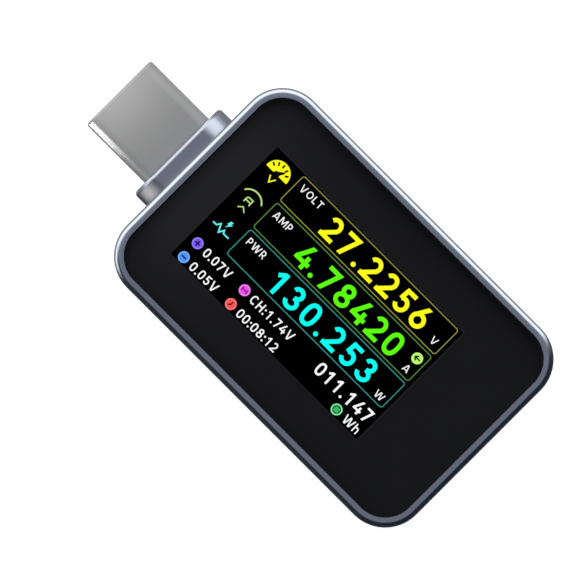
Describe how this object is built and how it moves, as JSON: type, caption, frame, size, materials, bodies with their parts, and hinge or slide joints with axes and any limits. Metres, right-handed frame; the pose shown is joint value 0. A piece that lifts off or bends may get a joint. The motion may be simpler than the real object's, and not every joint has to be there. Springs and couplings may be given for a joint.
{
  "type": "usb power meter",
  "caption": "Pocket in-line USB-C power meter: a metal-framed slab with a black glass front and colour screen, a plug on a short collar at one end and a socket at the other.",
  "frame": {"origin": "bottom centre of the whole object: the middle of its length and width, on the back face", "axes": "+X from the plug's tip to the socket's wall, +Y to the top of the screen, +Z out of the screen"},
  "size_m": [0.0463, 0.024, 0.009],
  "materials": {
    "frame_metal": "anodised satin",
    "plug_steel": "satin nickel",
    "front_glass": "polished",
    "film_black": "gloss",
    "back_plastic": "fine matt",
    "screw_steel": "satin",
    "screen_black": "gloss",
    "screen_light": "lit areas of the screen",
    "light_guide": "matt",
    "flex_film": "gloss",
    "connector_plastic": "matt",
    "foam": "matt",
    "board_green": "solder mask",
    "chip_black": "matt",
    "ferrite": "matt",
    "capacitor_body": "satin",
    "crystal_can": "satin",
    "gap_pad": "matt",
    "insulator_black": "satin",
    "contact_gold": "gold plated",
    "spring_steel": "satin",
    "key_metal": "anodised satin",
    "switch_plastic": "matt",
    "plunger_plastic": "satin"
  },
  "bodies": {
    "housing": {"frame": "frame_metal", "plug_collar": "frame_metal", "cover_glass": "front_glass", "bezel_film": "film_black", "back_cover": "back_plastic", "case_screws": "screw_steel", "lcd_panel": "screen_black", "lcd_backlight": "light_guide", "lcd_flex": "flex_film", "lcd_connector": "connector_plastic", "foam_pad": "foam", "circuit_board": "board_green", "mcu_chip": "chip_black", "current_sense_chip": "chip_black", "memory_chip": "chip_black", "voltage_regulator": "chip_black", "buck_inductor": "ferrite", "shunt_resistors": "chip_black", "crystal": "crystal_can", "tvs_diodes": "chip_black", "ceramic_capacitors": "capacitor_body", "chip_resistors": "chip_black", "thermal_pad": "gap_pad", "plug_shell": "plug_steel", "plug_insulator": "insulator_black", "plug_contacts": "contact_gold", "plug_latch": "spring_steel", "socket_shell": "plug_steel", "socket_housing": "insulator_black", "socket_tongue": "insulator_black", "socket_contacts": "contact_gold", "socket_midplate": "spring_steel", "switch_body": "switch_plastic", "switch_cover": "spring_steel", "switch_dome": "spring_steel"},
    "key": {"key_cap": "key_metal", "switch_plunger": "plunger_plastic"}
  },
  "joints": [
    {"name": "key_press", "type": "slide", "parent": "housing", "child": "key", "axis": [0, 1, 0], "range_m": [0, 0.00025], "stiffness_N_per_m": 6000}
  ]
}
